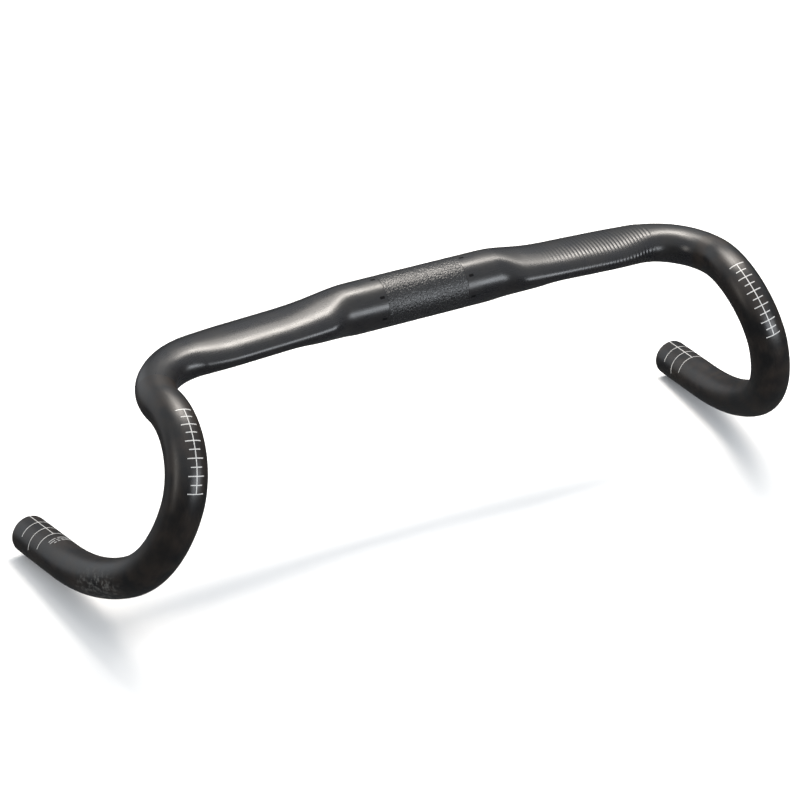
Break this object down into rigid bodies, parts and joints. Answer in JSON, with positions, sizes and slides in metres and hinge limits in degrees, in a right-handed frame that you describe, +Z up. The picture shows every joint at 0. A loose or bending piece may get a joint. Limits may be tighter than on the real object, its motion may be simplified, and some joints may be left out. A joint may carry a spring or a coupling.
{
  "type": "drop handlebar",
  "caption": "Carbon drop handlebar with flattened tops, flared compact hooks, a rough stem clamp band and printed lever and trim scales.",
  "frame": {"origin": "middle of the stem clamp zone, on its axis", "axes": "+X along the clamp axis to the rider's right, +Y forward, +Z up"},
  "size_m": [0.487, 0.1678, 0.1657],
  "materials": {
    "clamp_laminate": "satin clear over carbon-fibre laminate",
    "grip_texture": "moulded rough grip texture",
    "top_laminate": "satin clear over carbon-fibre laminate",
    "hook_laminate": "satin clear over unidirectional carbon-fibre laminate",
    "inner_laminate": "bare carbon-fibre laminate as moulded",
    "film_adhesive": "cured epoxy glue film",
    "scale_ink": "white printed ink",
    "note_ink": "grey printed ink",
    "mark_ink": "black printed ink"
  },
  "bodies": {
    "root": {"clamp_tube": "clamp_laminate", "clamp_grip_band": "grip_texture", "clamp_doubler": "inner_laminate", "top_right": "top_laminate", "drop_right": "hook_laminate", "clamp_sleeve_right": "inner_laminate", "corner_sleeve_right": "inner_laminate", "clamp_glue_right": "film_adhesive", "corner_glue_right": "film_adhesive", "lever_doubler_right": "inner_laminate", "end_ring_right": "inner_laminate", "lever_scale_right": "scale_ink", "trim_scale_right": "scale_ink", "clamp_marks_right": "mark_ink", "top_left": "top_laminate", "drop_left": "hook_laminate", "clamp_sleeve_left": "inner_laminate", "corner_sleeve_left": "inner_laminate", "clamp_glue_left": "film_adhesive", "corner_glue_left": "film_adhesive", "lever_doubler_left": "inner_laminate", "end_ring_left": "inner_laminate", "lever_scale_left": "scale_ink", "trim_scale_left": "scale_ink", "clamp_marks_left": "mark_ink", "trim_note_right": "note_ink"}
  },
  "joints": []
}
